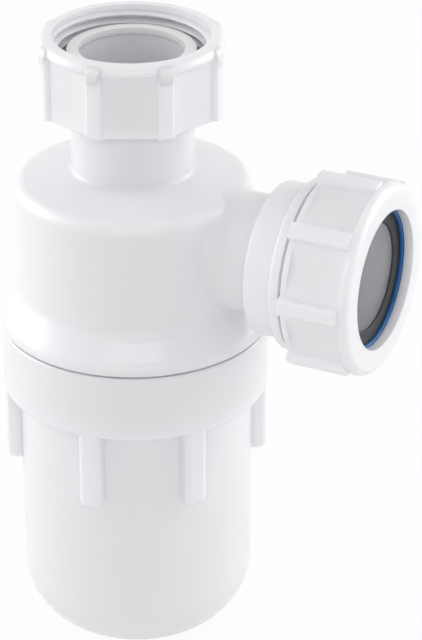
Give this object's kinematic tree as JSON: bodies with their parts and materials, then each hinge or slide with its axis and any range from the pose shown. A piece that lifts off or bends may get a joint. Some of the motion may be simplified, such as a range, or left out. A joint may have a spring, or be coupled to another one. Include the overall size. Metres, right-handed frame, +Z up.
{
  "type": "bottle trap",
  "caption": "White plastic bottle trap with a screw-on bottle, a ribbed inlet nut on its neck and a compression nut with a rubber seal on its side outlet.",
  "frame": {"origin": "centre of the inlet's sealing face, the washer's top", "axes": "+Z up the inlet, +X out of the outlet"},
  "size_m": [0.1102, 0.073, 0.177],
  "materials": {
    "white_plastic": "satin gloss white polypropylene",
    "washer_plastic": "soft white polyethylene",
    "blue_plastic": "satin blue plastic",
    "black_rubber": "smooth matt black rubber"
  },
  "bodies": {
    "trap_head": {"head": "white_plastic", "inlet_tube": "white_plastic", "inlet_washer": "washer_plastic"},
    "inlet_nut": {"inlet_nut": "white_plastic"},
    "bottle_seal": {"bottle_seal": "black_rubber"},
    "bottle": {"bottle": "white_plastic"},
    "outlet_seal": {"outlet_seal": "black_rubber", "outlet_slip_ring": "blue_plastic"},
    "outlet_nut": {"outlet_nut": "white_plastic"}
  },
  "joints": [
    {"name": "inlet_nut_spin", "type": "hinge", "parent": "trap_head", "child": "inlet_nut", "pos_m": [0, 0, 0], "axis": [0, 0, 1], "continuous": true},
    {"name": "bottle_seal_drop", "type": "slide", "parent": "trap_head", "child": "bottle_seal", "axis": [0, 0, -1], "range_m": [0, 0.012]},
    {"name": "bottle_turn", "type": "hinge", "parent": "bottle_seal", "child": "bottle", "pos_m": [0, 0, -0.08], "axis": [0, 0, -1], "range_deg": [0, 1080]},
    {"name": "outlet_seal_slide", "type": "slide", "parent": "trap_head", "child": "outlet_seal", "axis": [1, 0, 0], "range_m": [0, 0.009]},
    {"name": "outlet_nut_turn", "type": "hinge", "parent": "outlet_seal", "child": "outlet_nut", "pos_m": [0.06, 0, -0.0523], "axis": [1, 0, 0], "range_deg": [0, 1080]}
  ],
  "couplings": [
    {"joint": "bottle_seal_drop", "follows": "bottle_turn", "m_per_rad": 0.00063656},
    {"joint": "outlet_seal_slide", "follows": "outlet_nut_turn", "m_per_rad": 0.00047742}
  ]
}
